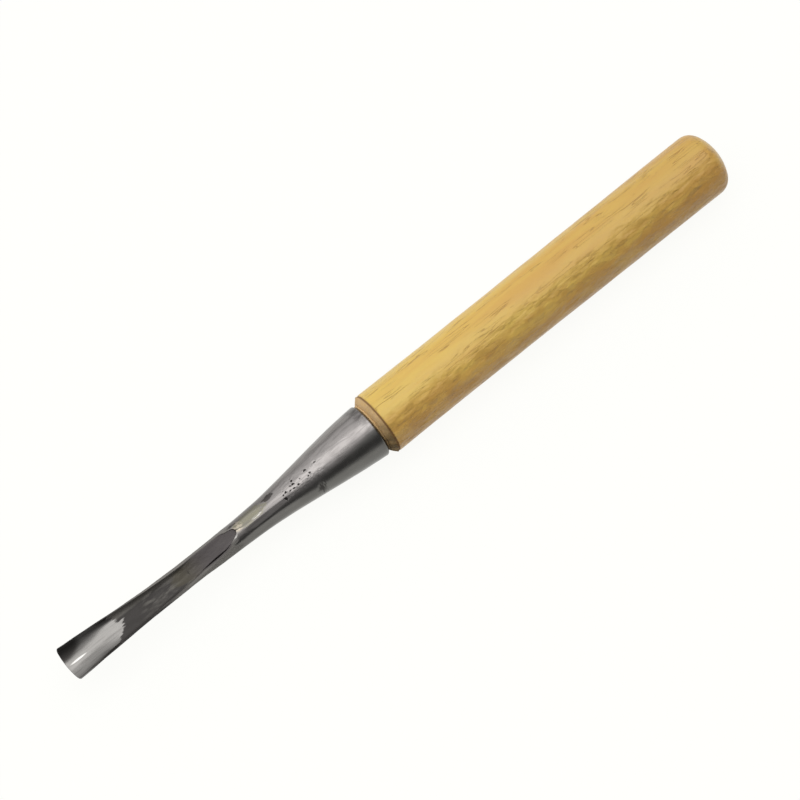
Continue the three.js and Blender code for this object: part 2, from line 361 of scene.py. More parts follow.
class Surface(Shading):
    """Material with patterns in tool millimetres and a principled shader at its end."""

    def __init__(self, name: str, tool: ToolFrame, *zones: Zone) -> None:
        """Starts a material.

        Args:
            name: Name of the material.
            tool: Frame that the patterns are placed by.
            *zones: Attributes of the mesh that it reads.
        """
        self.material = bpy.data.materials.new(name)
        self.material.use_nodes = True
        super().__init__(self.material.node_tree)
        self.shader = self.tree.nodes["Principled BSDF"]
        self.place = self.add("ShaderNodeMapping", {
            "Vector": self.add("ShaderNodeTexCoord").outputs["Object"],
            "Location": -tool.origin / MM, "Scale": (1 / MM, 1 / MM, 1 / MM),
        }).outputs["Vector"]
        self.along, self.across, self.up = self.add("ShaderNodeSeparateXYZ", {0: self.place}).outputs
        self.zones = {
            zone: self.add("ShaderNodeAttribute", attribute_name=zone.value).outputs["Fac"] for zone in zones
        }

    def grain(self, size: Triple, detail: float, shift: float = 0) -> Any:
        """Soft noise.

        Args:
            size: Size of its spots along, across and up, in millimetres.
            detail: Number of finer layers.
            shift: Distance that tells one pattern from another, in spots.

        Returns:
            The noise, from 0 to 1.
        """
        scaled = self.add("ShaderNodeMapping", {
            "Vector": self.place, "Location": (shift, shift, shift), "Scale": [1 / each for each in size],
        }).outputs["Vector"]
        noises = self.add("ShaderNodeTexNoise", {"Vector": scaled, "Scale": 1, "Detail": detail})
        return noises.outputs["Fac"]

    def bend(self, size: Triple, detail: float, shift: float, reach: float) -> None:
        """Bends all the patterns that are made after this.

        Args:
            size: Size of the bends along, across and up, in millimetres.
            detail: Number of finer layers.
            shift: Distance that tells them from other patterns, in bends.
            reach: How far they push the patterns aside, in millimetres.
        """
        noises = self.grain(size, detail, shift).node.outputs["Color"]
        push = self.add("ShaderNodeMapping", {
            "Vector": noises, "Location": (0, -reach, -reach), "Scale": (0, 2 * reach, 2 * reach),
        }).outputs["Vector"]
        self.place = self.add("ShaderNodeVectorMath", {0: self.place, 1: push}).outputs[0]

    def lines(self, pattern: Any, width: float, core: float) -> Any:
        """Thin lines where a noise crosses its middle value.

        Args:
            pattern: The noise.
            width: Distance from the middle value where the lines end.
            core: Distance up to which they are full.

        Returns:
            A share that is 1 in the lines.
        """
        return self.step(self.maths("ABSOLUTE", self.less(pattern, 0.5), 0), width, core)

    def lay(self, base: Any, coats: tuple[tuple[Any, Any], ...]) -> Any:
        """Lays colours over one another, given as hex values or sockets.

        Args:
            base: Lowest colour.
            coats: The colours over it, each with the share that it covers.

        Returns:
            The mixed colour's socket.
        """
        for coat, share in coats:
            low, high = (linear(each) if isinstance(each, str) else each for each in (base, coat))
            inputs = {MIX_FACTOR: share, MIX_A: low, MIX_B: high}
            base = self.add("ShaderNodeMix", inputs, data_type="RGBA").outputs[MIX_RESULT]
        return base

    def spots(self, ragged: Any, *spots: Quad) -> Any:
        """Soft spots on the upper side of the tool.

        Args:
            ragged: Noise that breaks their outlines.
            *spots: Place along and across, and half of the length and width, of each.

        Returns:
            A share that is 1 in their middles.
        """
        shares = []
        for along, across, length, width in spots:
            gone = self.maths("DIVIDE", self.less(self.along, along), length)
            aside = self.maths("DIVIDE", self.less(self.across, across), width)
            squares = self.plus(self.times(gone, gone), self.times(aside, aside))
            shares.append(self.step(self.plus(squares, ragged), 2, 0.8))
        return self.times(self.most(*shares), self.step(self.up, -1, 1))

    def relief(self, *layers: tuple[Any, float, float]) -> Any:
        """Fine relief, as the normal of the surface.

        Args:
            *layers: From the lowest up, each one's height pattern from 0 to 1, its real height in
                millimetres, and the share of it that shows.

        Returns:
            The normal's socket.
        """
        under: dict[str, Any] = {}
        for height, distance, strength in layers:
            inputs = {"Height": height, "Distance": distance * MM, "Strength": strength, **under}
            under = {"Normal": self.add("ShaderNodeBump", inputs).outputs[0]}
        return under["Normal"]


@dataclass(frozen=True)
class ForgedSteel:
    """Carbon tool steel, drawn out and rolled hot by hand, then ground where it has to be bright.

    The flute by the edge and the socket are ground bright with fine scratches along the tool. The
    shank between them keeps its forge scale, a dark uneven oxide with lighter patches where the
    hammer and the file touched it. Heat has left an olive stain at the tip of the arch. The
    scratches are drawn 0.06 mm wide, coarser than real ones, so that they show in a render.

    The colours are those of the ground flute and the painted highlights on it by the edge, on the
    arch's right rim and on the socket's ridge, the filed socket, the scale, which also serves as
    painted shade in the flute's left corner by the edge and along its right border, its rubbed patches,
    which also serve as painted light on the flute's left wall, and its olive tarnish, the strip's face in
    the throat (web), the rolled flaps, the heat stain, the flux at the tip of the arch (crust), the
    painted shade on the socket's low right side, and the soot in pits, which also serves as painted
    shade in the lap, down the bore and on the land right of the flute. Ends and starts are places along
    the tool, a size is that of a pattern's spots along, across and up, and a spot is a place along
    and across with half of its length and width, all in millimetres.
    """

    ground: str = "#8f8d8a"
    painted_highlight: str = "#e6e4e0"
    filed: str = "#8f8b89"
    scale_and_shade: str = "#3c3937"
    streak_and_light: str = "#67645f"
    tarnish: str = "#56503f"
    web: str = "#555050"
    flap: str = "#7c7974"
    stain: str = "#7d7a69"
    crust: str = "#aca292"
    low_side_shade: str = "#6a6966"
    soot_and_shade: str = "#120f0d"
    flute_end: float = 18.8
    bevel_end: float = 6
    socket_start: float = 55
    lobe_size: Triple = (5, 0.9, 0.9)
    blotch_size: Triple = (5, 2.2, 2.2)
    streak_size: Triple = (9, 0.5, 0.5)
    speck_size: Triple = (0.9, 0.6, 0.6)
    rub_size: Triple = (4, 0.9, 0.9)
    haze_size: Triple = (7, 1.3, 1.3)
    scratch_size: Triple = (6, 0.06, 0.06)
    tarnish_spot: Quad = (41, 0.2, 5, 2.2)
    painted_highlight_spots: tuple[Quad, ...] = (
        (3.6, 0.36, 2.6, 0.26), (55.2, -0.75, 1.2, 0.45), (63.3, 0.05, 1.7, 0.35),
    )
    stain_spot: Quad = (61.8, 1.1, 4.4, 1.5)
    crust_spot: Quad = (57.8, 1.0, 1.3, 1.2)
    scale_spots: tuple[Quad, ...] = ((68.6, 2.1, 1.5, 0.6), (54.8, 2.25, 2.4, 0.35))
    rim_spot: Quad = (101, 4.8, 1.4, 2.2)
    corner_shade_spot: Quad = (0.5, 4.4, 5, 2.2)

    def build(self, tool: ToolFrame) -> bpy.types.Material:
        """Makes the material.

        Args:
            tool: Frame that the patterns are placed by.

        Returns:
            The material.
        """
        s = Surface("forged_carbon_steel", tool, Zone.FLUTE, Zone.HOLLOW, Zone.PIT)
        flute = s.zones[Zone.FLUTE]
        outside = s.less(1, flute)
        lobes = s.less(s.grain(self.lobe_size, 3), 0.5)
        blotches = s.grain(self.blotch_size, 4, 7)
        streaks = s.grain(self.streak_size, 3, 13)
        specks = s.grain(self.speck_size, 3, 5)
        rubbed_and_groove_shade = s.times(s.step(s.grain(self.rub_size, 3, 17), 0.46, 0.66), s.step(blotches, 0.4, 0.56))
        cloudy = s.times(s.step(s.grain(self.haze_size, 3, 31), 0.46, 0.66), 0.65)
        sooner = s.plus(s.along, s.step(s.across, -1, 1, 0, 16))
        oxide = s.lay(self.scale_and_shade, (
            (self.streak_and_light, s.times(s.most(rubbed_and_groove_shade, cloudy), s.step(s.along, 22, 30))),
            (self.tarnish, s.times(s.spots(s.times(lobes, 3), self.tarnish_spot), 0.45)),
            # Painted light on the flute's left wall, its floor in the throat, painted shade on the land on
            # its right, and the flaps
            (self.streak_and_light, s.times(s.step(s.across, 1.9, 2.6), flute, 0.75)),
            (self.web, s.times(s.step(s.along, 38, 46), flute, 0.85)),
            (self.soot_and_shade, s.times(s.step(s.across, -2.4, -3.2), s.step(s.along, 36, 28), outside, 0.6)),
            (self.flap, s.times(s.step(sooner, 28, 46), outside, 0.8)),
        ))
        ragged = s.times(s.less(specks, 0.5), 5)
        border = s.less(s.across, s.times(s.along, 0.13))
        turned = s.less(s.across, s.times(s.up, 0.55), s.step(s.along, 60, 95, 2.9, 0))
        metal = s.lay(self.ground, (
            (self.filed, s.step(s.along, 30, 50)),
            # Scale that shows between the scratches, and on the neck
            (self.scale_and_shade, s.step(streaks, 0.42, 0.72, 0, 0.3)),
            (self.scale_and_shade, s.step(s.along, 78, 64, 0, 0.3)),
            # Painted highlights on the flute by the edge, on the arch's right rim and on the socket's ridge
            (self.painted_highlight, s.times(s.spots(streaks, *self.painted_highlight_spots), 0.48)),
            (self.scale_and_shade, s.times(s.step(s.along, 97, 102), s.step(blotches, 0.45, 0.65), 0.65)),
            (self.stain, s.times(s.spots(ragged, self.stain_spot), s.step(streaks, 0.4, 0.6, 0.85, 0.5))),
            (self.crust, s.times(s.spots(ragged, self.crust_spot), s.step(specks, 0.4, 0.55), 0.8)),
            (self.scale_and_shade, s.times(s.spots(ragged, *self.scale_spots), 0.85)),
            (self.scale_and_shade, s.times(s.spots(s.times(ragged, 2), self.rim_spot), 0.3)),
            # Painted shade in the flute's left corner by the edge
            (self.scale_and_shade, s.times(s.spots(0, self.corner_shade_spot), 0.8)),
            # Painted shade: a dark wedge along the flute's right border, and darker steel on the socket's
            # low right side
            (self.scale_and_shade, s.times(s.step(border, -4.95, -5.25), s.step(s.along, 30, 24, 0, 0.85))),
            (self.low_side_shade, s.times(s.step(turned, -5.9, -7.4, 0, 0.9), s.step(s.along, 50, 55))),
        ))
        bright = self.bright(s, flute, outside, lobes)
        # Soot in the rust pits, and painted shade in the lap and down the bore
        pits_and_shade = s.most(s.zones[Zone.HOLLOW], s.step(s.zones[Zone.PIT], 0, 1))
        scratches = s.grain(self.scratch_size, 1, 3)
        crumbs = s.times(specks, s.step(bright, 0, 1, 1, 0.12))
        s.join(s.shader, {
            "Base Color": s.lay(oxide, ((metal, bright), (self.soot_and_shade, s.times(pits_and_shade, 0.94)))),
            "Metallic": s.step(bright, 0, 1, 0.25, 1),
            "Roughness": s.plus(s.step(bright, 0, 1, 0.6, 0.27), s.step(blotches, 0.3, 0.7, -0.04, 0.06)),
            "Specular IOR Level": 0.3,
            "Normal": s.relief((scratches, 0.01, 0.25), (crumbs, 0.12, 0.5)),
        })
        return s.material

    def bright(self, s: Surface, flute: Any, outside: Any, lobes: Any) -> Any:
        """Finds where the steel is ground or filed bright.

        Args:
            s: Surface that is being made.
            flute: Share that is 1 in the flute.
            outside: Share that is 1 outside it.
            lobes: Noise that breaks the outlines.

        Returns:
            A share that is 1 on bright steel.
        """
        ragged = s.plus(s.along, s.times(lobes, 7))
        aside = s.less(s.across, 0.8)
        in_flute = s.plus(ragged, s.times(aside, aside, 0.25))
        on_bevel = s.plus(s.along, s.times(s.across, s.across, 0.1))
        on_bevel = s.step(on_bevel, self.bevel_end + 0.5, self.bevel_end - 0.5)
        on_socket = s.step(ragged, self.socket_start - 1.5, self.socket_start + 1.5)
        return s.most(
            s.times(s.step(in_flute, self.flute_end + 0.4, self.flute_end - 0.4), flute),
            s.times(s.most(on_bevel, on_socket), outside),
        )


@dataclass(frozen=True)
class LacqueredWood:
    """Diffuse-porous hardwood, turned, sanded and dipped in clear yellow lacquer.

    The lacquer has dried in fine dark wrinkles along the handle, a cloudy figure covers its right
    side, and the lacquer shines softly over both. The chamfer and the tenon were cut after the dip
    and are bare. The pores are drawn 0.27 mm wide, coarser than real ones, so that they show.

    The colours are those of the wood's pale and warm bands under lacquer, the cloudy figure, the
    wrinkles and pores, the bare wood, the painted shade that darkens the bare wood towards its low
    right side, and the painted shade along the groove. A size is that of a pattern's spots along,
    across and up, in millimetres, and the wrinkles gather in clusters, which also mottle the painted
    shade on the bare wood.
    """

    pale: str = "#d0af55"
    warm: str = "#c99f4e"
    figure: str = "#ab7f3d"
    pore: str = "#8a5f24"
    bare: str = "#c6a679"
    bare_wood_shade: str = "#4d3a12"
    rubbed_and_groove_shade: str = "#6a4a24"
    bend_size: Triple = (24, 6, 6)
    bend_reach: float = 1
    band_size: Triple = (45, 5, 5)
    cloud_size: Triple = (6, 3, 3)
    pore_size: Triple = (12, 0.27, 0.27)
    wrinkle_size: Triple = (14, 0.9, 0.9)
    cluster_size: Triple = (18, 2.6, 2.6)
    lump_size: Triple = (5, 2.6, 2.6)

    def build(self, tool: ToolFrame) -> bpy.types.Material:
        """Makes the material.

        Args:
            tool: Frame that the patterns are placed by.

        Returns:
            The material.
        """
        s = Surface("lacquered_hardwood", tool, Zone.BARE, Zone.CUT)
        s.bend(self.bend_size, 1, 17, self.bend_reach)
        bands = s.grain(self.band_size, 3, 2)
        clouds = s.grain(self.cloud_size, 1, 4)
        pores = s.grain(self.pore_size, 1, 9)
        wrinkles = s.grain(self.wrinkle_size, 1, 23)
        clusters = s.grain(self.cluster_size, 2, 11)
        right = s.step(s.across, -1.5, -6)
        outlines = s.times(s.lines(clouds, 0.035, 0), right, s.step(clusters, 0.42, 0.6))
        folds = s.times(s.lines(wrinkles, 0.03, 0.008), s.step(clusters, 0.43, 0.53))
        folds = s.times(folds, s.step(s.across, 0.5, -5, 1, 0.4))
        wood = s.lay(self.pale, (
            (self.warm, s.step(bands, 0.35, 0.65)),
            # The figure gets denser to the butt and to the right, and the wood is darker low on the right.
            (self.figure, s.step(s.along, 120, 222, 0, 0.42)),
            (self.figure, s.times(s.step(clouds, 0.38, 0.62), right, 0.6)),
            (self.figure, s.step(s.across, -5, -8.5, 0, 0.5)),
            (self.pore, s.times(s.most(folds, s.times(outlines, 0.35)), 0.52)),
            (self.pore, s.step(pores, 0.62, 0.7, 0, 0.07)),
        ))
        # Painted shade on the bare wood, darker towards its low right side and mottled in clusters
        bare_wood_shade_mask = s.times(s.step(s.across, 1, -8.5), s.step(clusters, 0.3, 0.6, 0.7, 1), 0.95)
        dry = s.lay(self.bare, ((self.warm, s.step(pores, 0.5, 0.7, 0, 0.5)), (self.bare_wood_shade, bare_wood_shade_mask)))
        bare = s.zones[Zone.BARE]
        lumps = s.times(s.grain(self.lump_size, 2, 41), s.step(s.across, 2, -5, 0.3, 1))
        s.join(s.shader, {
            # Painted shade along the groove between the chamfer and the barrel
            "Base Color": s.lay(wood, ((dry, bare), (self.rubbed_and_groove_shade, s.times(s.zones[Zone.CUT], 0.85)))),
            "Roughness": s.step(bare, 0, 1, 0.42, 0.75),
            "Specular IOR Level": 0.3,
            "Coat Weight": s.step(bare, 0, 1, 0.3, 0),
            "Coat Roughness": 0.28,
            "Normal": s.relief((s.less(1, folds), 0.16, 0.6), (lumps, 1.8, 0.75)),
        })
        return s.material


def add_object(name: str, data: bpy.types.ID, place: Matrix = Matrix.Identity(4)) -> bpy.types.Object:
    """Adds an object to the scene.

    Args:
        name: Name of the object.
        data: Its mesh, lamp or camera.
        place: Its place and turn.

    Returns:
        The object.
    """
    thing = bpy.data.objects.new(name, data)
    thing.matrix_world = place
    bpy.context.scene.collection.objects.link(thing)
    return thing


def add_mesh(name: str, mesh: bmesh.types.BMesh, finish: bpy.types.Material) -> bpy.types.Object:
    """Adds a finished mesh to the scene, and frees it.

    Args:
        name: Name of the object.
        mesh: The mesh.
        finish: Material of all its faces.

    Returns:
        The object.
    """
    data = bpy.data.meshes.new(name)
    mesh.to_mesh(data)
    mesh.free()
    data.materials.append(finish)
    return add_object(name, data)


def finish_piece(
    mesh: bmesh.types.BMesh, node: Node, slot: Slot, tool: ToolFrame, finish: bpy.types.Material
) -> bpy.types.Object:
    """Turns a mesh in tool millimetres to a piece that stands for a CAD node.

    Args:
        mesh: The finished mesh, which is freed.
        node: CAD node that the piece stands for.
        slot: Material slot of the record.
        tool: Place of the tool.
        finish: Material of the piece.

    Returns:
        The piece.
    """
    bmesh.ops.transform(mesh, matrix=tool.placement(), verts=mesh.verts[:])
    bmesh.ops.recalc_face_normals(mesh, faces=mesh.faces[:])
    for face in mesh.faces:
        face.smooth = True
    piece = add_mesh(node.value + "_piece", mesh, finish)
    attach(piece, BODY)
    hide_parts(node.value)
    log.info("%s: %d faces, slot %s", piece.name, len(piece.data.polygons), slot.value)
    return piece


@dataclass
class SkinPoint:
    """One point of a section through the steel.

    Attributes:
        across: Place across the tool.
        up: Height above the axis.
        flute: 1 inside the flute and the throat, and 0 outside.
        hollow: 1 on faces that the arch or the socket covers.
    """

    across: float
    up: float
    flute: float = 0
    hollow: float = 0


@dataclass(frozen=True)
class Mark:
    """Small round mark in the steel: its middle, half sizes and depth, and how dark its rust is."""

    along: float
    across: float
    length: float
    reach: float
    depth: float
    rust: float

    @classmethod
    def pit(cls, along: float, across: float, size: float) -> "Mark":
        """Rust pit whose size is a share of a full one."""
        return cls(along, across, 0.5 * size, 0.38 * size, 0.16 * size, 1.6 * size ** 2)


@dataclass(frozen=True)
class Facet:
    """Flat place that hammer or file has left on the round neck and socket.

    It has its middle and half of its length along the tool, its tilt from straight up towards the
    right side in degrees, and the depth in its middle.
    """

    along: float
    length: float
    tilt: float
    depth: float


@dataclass
class GougeBlade:
    """Blade, shank and rolled socket, forged from one strip of steel. Lengths are in millimetres.

    Its skin is one closed row of sections. Each section runs round the outside from lip to lip and
    back through the flute. In the throat the flute becomes the hollow between two rolled flaps,
    with an open lap along the right one, and beyond the tip of the arch it is only a seam. At the
    rim the sections turn in and line the socket.
    """

    tool: ToolFrame
    bore: Bore = Bore()
    half_width: Curve = Curve((
        (0, 5.12), (5.7, 4.91), (11.4, 4.68), (16.5, 4.34), (21.7, 4.0), (26.8, 3.74),
        (34.2, 3.56), (42.75, 3.47), (50, 3.66), (54.4, 3.74), (57, 3.77),
    ))
    trumpet_shares: tuple[Pair, ...] = ((0, 0), (0.36, 0.03), (0.62, 0.74), (1, 1))
    trumpet_rounds: int = 30
    lip_height: Curve = Curve((
        (0, 4), (20, 3.525), (42.75, 2.75), (50.2, 1.51), (57, 0.55), (68.2, 0), (101.7, 0),
    ))
    back_depth: Curve = Curve(((0, 0.35), (6.8, 0.35), (22.8, 0.96), (42.75, 1.8), (57, 3.05), (68.2, 4.3)))
    crown_share: Curve = Curve(((34, 0.035), (42.75, 0.2), (50.2, 0.62), (57, 0.9), (68.2, 1)))
    flute_half_width: Curve = Curve((
        (0, 5), (11.4, 4.45), (17.1, 4.02), (31.4, 2.95), (42.75, 2.55), (57, 2.35),
    ))
    flute_depth: Curve = Curve((
        (0, 1.8), (6, 1.8), (11.4, 1.75), (17, 1.5), (24, 1.6), (31.4, 1.47), (42.75, 0.95),
    ))
    web_height: Curve = Curve(((42.75, 1.8), (50.2, 2.35), (54, 2.8), (57, 3.3)))
    round_place: float = 68.2
    rim_round: float = 0.8
    bevel_angle: float = 18
    edge_sweep: float = 50
    full_sweep: float = 89
    back_open_length: float = 28.5
    flute_open_length: float = 34.2
    flat_start: float = 8
    flat_full: float = 18
    flat_power: float = 8
    nose: float = 0.35
    nose_reach: float = 17.1
    corner_round: float = 0.45
    corner_reach: float = 3
    corner_power: float = 16
    throat_start: float = 38
    throat_full: float = 44
    arch_left: Curve = Curve((
        (42.75, 2.55), (49, 2.4), (52.8, 2.23), (54.3, 1.8), (55.4, 1.6), (56.2, 1.35), (56.55, 1.05),
        (56.75, 0.5),
    ))
    arch_right: Curve = Curve((
        (42.75, -2.1), (49, -2.05), (51.5, -1.98), (52.8, -1.68), (54.1, -1.25), (55.3, -0.83), (56.1, -0.4),
        (56.55, 0), (56.75, 0.5),
    ))
    arch_sink_start: float = 50
    arch_tip: float = 56.75
    arch_round: float = 0.26
    web_drop_open: float = 0.04
    web_drop_closed: float = 0.25
    web_power: float = 1.6
    scale_end: Pair = (53.15, 54.75)
    slit_start: float = 41.5
    slit_end: float = 54
    slit_width: float = 0.66
    slit_depth: float = 1.8
    slit_power: float = 0.3
    slit_steepness: float = 6
    overlap: float = 0.01
    seam: Curve = Curve(((56.75, 0.5), (62, 0.3), (76, 0.5), (91.5, 0.9), (98.7, -0.6)))
    seam_depth: Curve = Curve((
        (56.75, 0.2), (57.5, 0.06), (61, 0), (88, 0), (92, 0.035), (97, 0.02), (99, 0),
    ))
    seam_width: float = 0.2
    seam_spread: float = 5
    band: float = 2.3
    sway: Curve = Curve((
        (0, 0.54), (5.7, 0.35), (10.2, 0.18), (19, 0), (36.7, -0.17), (45.5, -0.14), (54.3, 0.06),
        (71.9, 0.19), (89.5, 0.08), (102.3, -0.17),
    ))
    twist: Curve = Curve(((0, 5.5), (2.5, 5), (5.5, 1.5), (9, -3), (14, -3), (18, -3), (23, 0)))
    twist_depth: float = 1
    pits: tuple[Triple, ...] = (
        (84.1, 1.16, 0.8), (80.75, 1.18, 1.0), (81.3, -0.29, 0.8), (80.5, -0.84, 0.7), (78.3, 0.27, 0.6),
        (76.3, 2.08, 0.6), (76.35, 1.27, 0.9), (75.2, 0.39, 0.7), (76.1, 0.34, 0.9), (75.6, -0.81, 0.7),
        (77.2, -0.8, 0.8), (72.8, 0.68, 0.6), (73.25, -0.16, 0.9), (74.4, -0.67, 0.8), (72.3, -0.48, 0.7),
        (72.3, -1.31, 0.9), (72.4, -1.77, 0.9),
    )
    dent: Mark = Mark(81.9, -4.9, 1.4, 1.2, 0.2, 0.75)
    nick: Mark = Mark(40.3, 0, 0.35, 0.75, 0.1, 0.6)
    mark_edge: Waves = Waves((0.35, 0.35, 1), 0.8)
    facets: tuple[Facet, ...] = (
        Facet(61.8, 4.6, -10, 0.14), Facet(62, 15, 25, 0.1), Facet(60, 22, 60, 0.27),
    )
    hammered: Waves = Waves((7, 4, 4), 0.07)
    scaled: Waves = Waves((1.6, 0.9, 0.9), 0.025, 3)
    scaled_stretch: Quad = (17, 21, 50, 60)
    worn: Waves = Waves((0.8, 0.55, 0.55), 0.03, 2)
    worn_stretch: Quad = (70, 73, 84, 89)
    worn_sides: Pair = (2, 4)
    edge_calm: Pair = (0.5, 4)
    flute_smooth: float = 0.4
    flute_rough: Pair = (15, 22)
    rim_smooth: float = 0.6
    rim_calm: Pair = (94, 100)
    edge_places: tuple[float, ...] = (0, 0.12, 0.3, 0.5, 0.75)
    pitted: Pair = (71.5, 85)
    half_count: int = 32
    edge_index: int = 8
    rim_count: int = 5
    slit_index: int = 43
    rim_steps: int = 7
    bore_steps: int = 12

    @property
    def rim_place(self) -> float:
        """Place where the outside starts to turn in at the rim."""
        return self.tool.steel_length - self.rim_round

    @property
    def last_index(self) -> int:
        """Number of the point at the flute's right rim."""
        return 2 * self.half_count - self.edge_index

    def trumpet(self, place: float) -> float:
        """Radius of the socket's trumpet, a curve with two handles.

        Args:
            place: Place along the tool, from the arch to the rim.

        Returns:
            The radius there.
        """
        start = self.half_width.points[-1]
        places = [blend(start[0], self.rim_place, along) for along, _ in self.trumpet_shares]
        radii = [blend(start[1], self.tool.mouth_radius, out) for _, out in self.trumpet_shares]
        low, high = 0.0, 1.0
        for _ in range(self.trumpet_rounds):
            middle = (low + high) / 2
            low, high = (middle, high) if bezier(places, middle) < place else (low, middle)
        return bezier(radii, low)

    def half_at(self, place: float) -> float:
        """Half of the steel's width.

        Args:
            place: Place along the tool.

        Returns:
            Half of the width there.
        """
        if place < self.half_width.points[-1][0]:
            return self.half_width.at(place)
        if place < self.rim_place:
            return self.trumpet(place)
        past = min(place - self.rim_place, self.rim_round)
        return self.tool.mouth_radius - self.rim_round + math.sqrt(self.rim_round ** 2 - past ** 2)

    def back_at(self, place: float) -> float:
        """Height of the underside, which the bevel cuts off at the edge.

        Args:
            place: Place along the tool.

        Returns:
            The height above the axis.
        """
        if place > self.round_place:
            return -self.half_at(place)
        edge = self.lip_height.at(0) - self.flute_depth.at(0)
        bevel = edge - place * math.tan(math.radians(self.bevel_angle))
        return max(-self.back_depth.at(place), bevel)

    def crown_at(self, place: float) -> float:
        """Height of the closed top above the lips."""
        return self.crown_share.at(place) * self.half_at(place)

    def top_at(self, place: float, across: float) -> float:
        """Height of the closed top above the axis, as if it had no flute."""
        share = min(abs(across) / self.half_at(place), 1)
        return self.lip_height.at(place) + self.crown_at(place) * math.sqrt(1 - share ** 2)

    def floor_at(self, place: float) -> float:
        """Height of the flute's floor, and further up of the web."""
        if place >= self.web_height.points[0][0]:
            return self.web_height.at(place)
        return self.lip_height.at(place) - self.flute_depth.at(place)

    def bowl(self, place: float, turn: float, open_length: float) -> Pair:
        """Open bowl, which gets rounder up the blade.

        Args:
            place: Place along the tool.
            turn: Turn round the bowl, from -1 to 1.
            open_length: Place where it is a half round.

        Returns:
            Sideways and downward shares.
        """
        half = math.radians(blend(self.edge_sweep, self.full_sweep, min(place / open_length, 1)))
        down = (math.cos(turn * half) - math.cos(half)) / (1 - math.cos(half))
        return math.sin(turn * half) / math.sin(half), down

    def turn_at(self, index: int) -> float:
        """Turn from the flute's left rim at 1 to its right rim at -1."""
        return 1 - (index - self.edge_index) / (self.half_count - self.edge_index)

    def outer_point(self, place: float, turn: float) -> SkinPoint:
        """Point on the outside.

        Args:
            place: Place along the tool.
            turn: Turn from the left lip at 1 to the right lip at -1.

        Returns:
            The point.
        """
        side, down = self.bowl(place, turn, self.back_open_length)
        lip = self.lip_height.at(place)
        return SkinPoint(self.half_at(place) * side, lip - (lip - self.back_at(place)) * down)

    def bowl_point(self, place: float, index: int) -> SkinPoint:
        """Point in the open flute, whose bottom gets flatter up the blade.

        Args:
            place: Place along the tool.
            index: Number of the point across.

        Returns:
            The point.
        """
        half = self.flute_half_width.at(place)
        side, down = self.bowl(place, self.turn_at(index), self.flute_open_length)
        flat = ease(self.flat_start, self.flat_full, place)
        height = blend(1 - down, abs(side) ** self.flat_power, flat)
        return SkinPoint(half * side, blend(self.floor_at(place), self.top_at(place, half), height), 1)

    def throat_point(self, place: float, index: int) -> SkinPoint:
        """Point in the throat: left rim, web, open lap, its wall and right rim.

        Args:
            place: Place along the tool.
            index: Number of the point across.

        Returns:
            The point.
        """
        left, right = self.arch_left.at(place), self.arch_right.at(place)
        rim, floor = self.arch_round, self.floor_at(place)
        top_left, top_right = self.top_at(place, left + rim), self.top_at(place, right - rim)
        sunk = ease(self.arch_sink_start, self.arch_tip, place)
        web_left = top_left - blend(self.web_drop_open, self.web_drop_closed, sunk)
        for count, edge, out, top, fall in (
            (index - self.edge_index, left, rim, top_left, min(rim, top_left - web_left)),
            (self.last_index - index, right, -rim, top_right, rim),
        ):
            if count <= self.rim_count:
                angle = math.pi / 2 * count / self.rim_count
                across, up = edge + out * (1 - math.sin(angle)), top - fall * (1 - math.cos(angle))
                return SkinPoint(across, up, 1 - ease(*self.scale_end, place))
        slit_share = self.slit_share(place)
        slit_left = min(right + self.slit_width * slit_share, left)
        if index >= self.slit_index:
            share = (index - self.slit_index) / (self.last_index - self.rim_count - self.slit_index)
            depth = self.slit_depth * slit_share ** self.slit_power * min(self.slit_steepness * share, 1)
            across = blend(slit_left, right + self.overlap, share)
            return SkinPoint(across, floor - depth, 1, min(2 * depth, 1))
        web_start = self.edge_index + self.rim_count + 1
        share = 1 - (index - web_start) / (self.slit_index - web_start)
        across = blend(slit_left, left - self.overlap, share)
        return SkinPoint(across, blend(floor, web_left, share ** self.web_power), 1)

    def slit_share(self, place: float) -> float:
        """How far the lap is open, from 0 at its ends to 1 in its middle."""
        middle, half = (self.slit_start + self.slit_end) / 2, (self.slit_end - self.slit_start) / 2
        return max(1 - ((place - middle) / half) ** 2, 0)

    def seam_point(self, place: float, index: int) -> SkinPoint:
        """Point of the closed seam beyond the arch.

        Args:
            place: Place along the tool.
            index: Number of the point across.

        Returns:
            The point.
        """
        spread = ease(self.arch_tip, self.arch_tip + self.seam_spread, place)
        middle = blend(self.seam.at(self.arch_tip), 0, spread)
        across = middle + blend(self.arch_round, self.band, spread) * self.turn_at(index)
        away = abs(across - self.seam.at(place)) / self.seam_width
        return SkinPoint(across, self.top_at(place, across) - self.seam_depth.at(place) * max(1 - away, 0))

    def top_point(self, place: float, index: int) -> SkinPoint:
        """Point on the upper side.

        Args:
            place: Place along the tool.
            index: Number of the point across, from 0 at the left lip.

        Returns:
            The point.
        """
        if index < self.edge_index or index > self.last_index:
            return self.land_point(place, index)
        if place > self.arch_tip:
            return self.seam_point(place, index)
        share = ease(self.throat_start, self.throat_full, place)
        if share >= 1:
            return self.throat_point(place, index)
        bowl = self.bowl_point(place, index)
        if share <= 0:
            return bowl
        throat = self.throat_point(place, index)
        across, up = blend(bowl.across, throat.across, share), blend(bowl.up, throat.up, share)
        return SkinPoint(across, up, 1, blend(0, throat.hollow, share))

